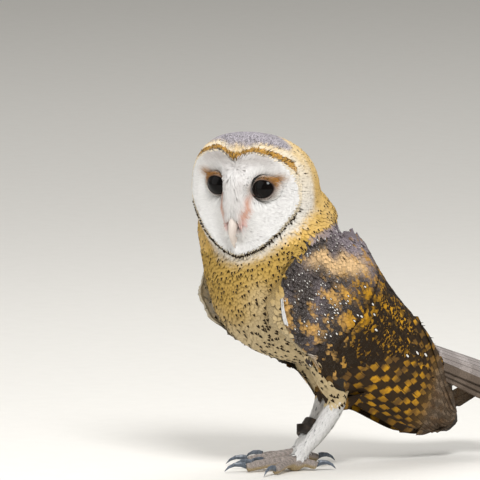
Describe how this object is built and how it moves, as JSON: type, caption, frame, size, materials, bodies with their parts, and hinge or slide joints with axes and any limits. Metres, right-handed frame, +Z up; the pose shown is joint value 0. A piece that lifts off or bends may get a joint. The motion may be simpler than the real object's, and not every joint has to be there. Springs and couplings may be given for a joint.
{
  "type": "barn owl",
  "caption": "Barn owl standing at rest with folded wings and its head turned aside, as a still life-size museum model.",
  "frame": {"origin": "on the floor under the middle of the whole bird, so the base of its bounding box is at z = 0", "axes": "+Z up; the owl faces -Y and its left side is +X; its head is turned about 28 degrees to its left"},
  "size_m": [0.132, 0.2848, 0.2877],
  "materials": {
    "plumage_golden": "soft matt feathers, golden buff with small dark specks",
    "plumage_breast": "soft matt feathers, buff with dark arrow-shaped spots",
    "plumage_slate": "matt feathers, slate grey with white drops and golden patches",
    "plumage_tail": "matt feathers, pale grey with dark bars",
    "plumage_white": "short white feathers, matt",
    "toe_skin": "bare scaly skin, matt",
    "eye": "wet and glossy",
    "bill": "smooth horn, satin",
    "claw": "polished dark horn",
    "leather": "worn, waxed"
  },
  "bodies": {
    "root": {"head": "plumage_golden", "neck": "plumage_golden", "trunk": "plumage_breast", "tail": "plumage_tail", "wing_left": "plumage_slate", "wing_right": "plumage_slate", "thigh_left": "plumage_breast", "thigh_right": "plumage_breast", "tarsus_left": "plumage_white", "tarsus_right": "plumage_white", "foot_left": "toe_skin", "foot_right": "toe_skin", "eye_left": "eye", "eye_right": "eye", "bill_upper": "bill", "bill_lower": "bill", "anklet_right": "leather", "claw_left_inner": "claw", "claw_left_middle": "claw", "claw_left_outer": "claw", "claw_left_hind": "claw", "claw_right_inner": "claw", "claw_right_middle": "claw", "claw_right_outer": "claw", "claw_right_hind": "claw"}
  },
  "joints": []
}
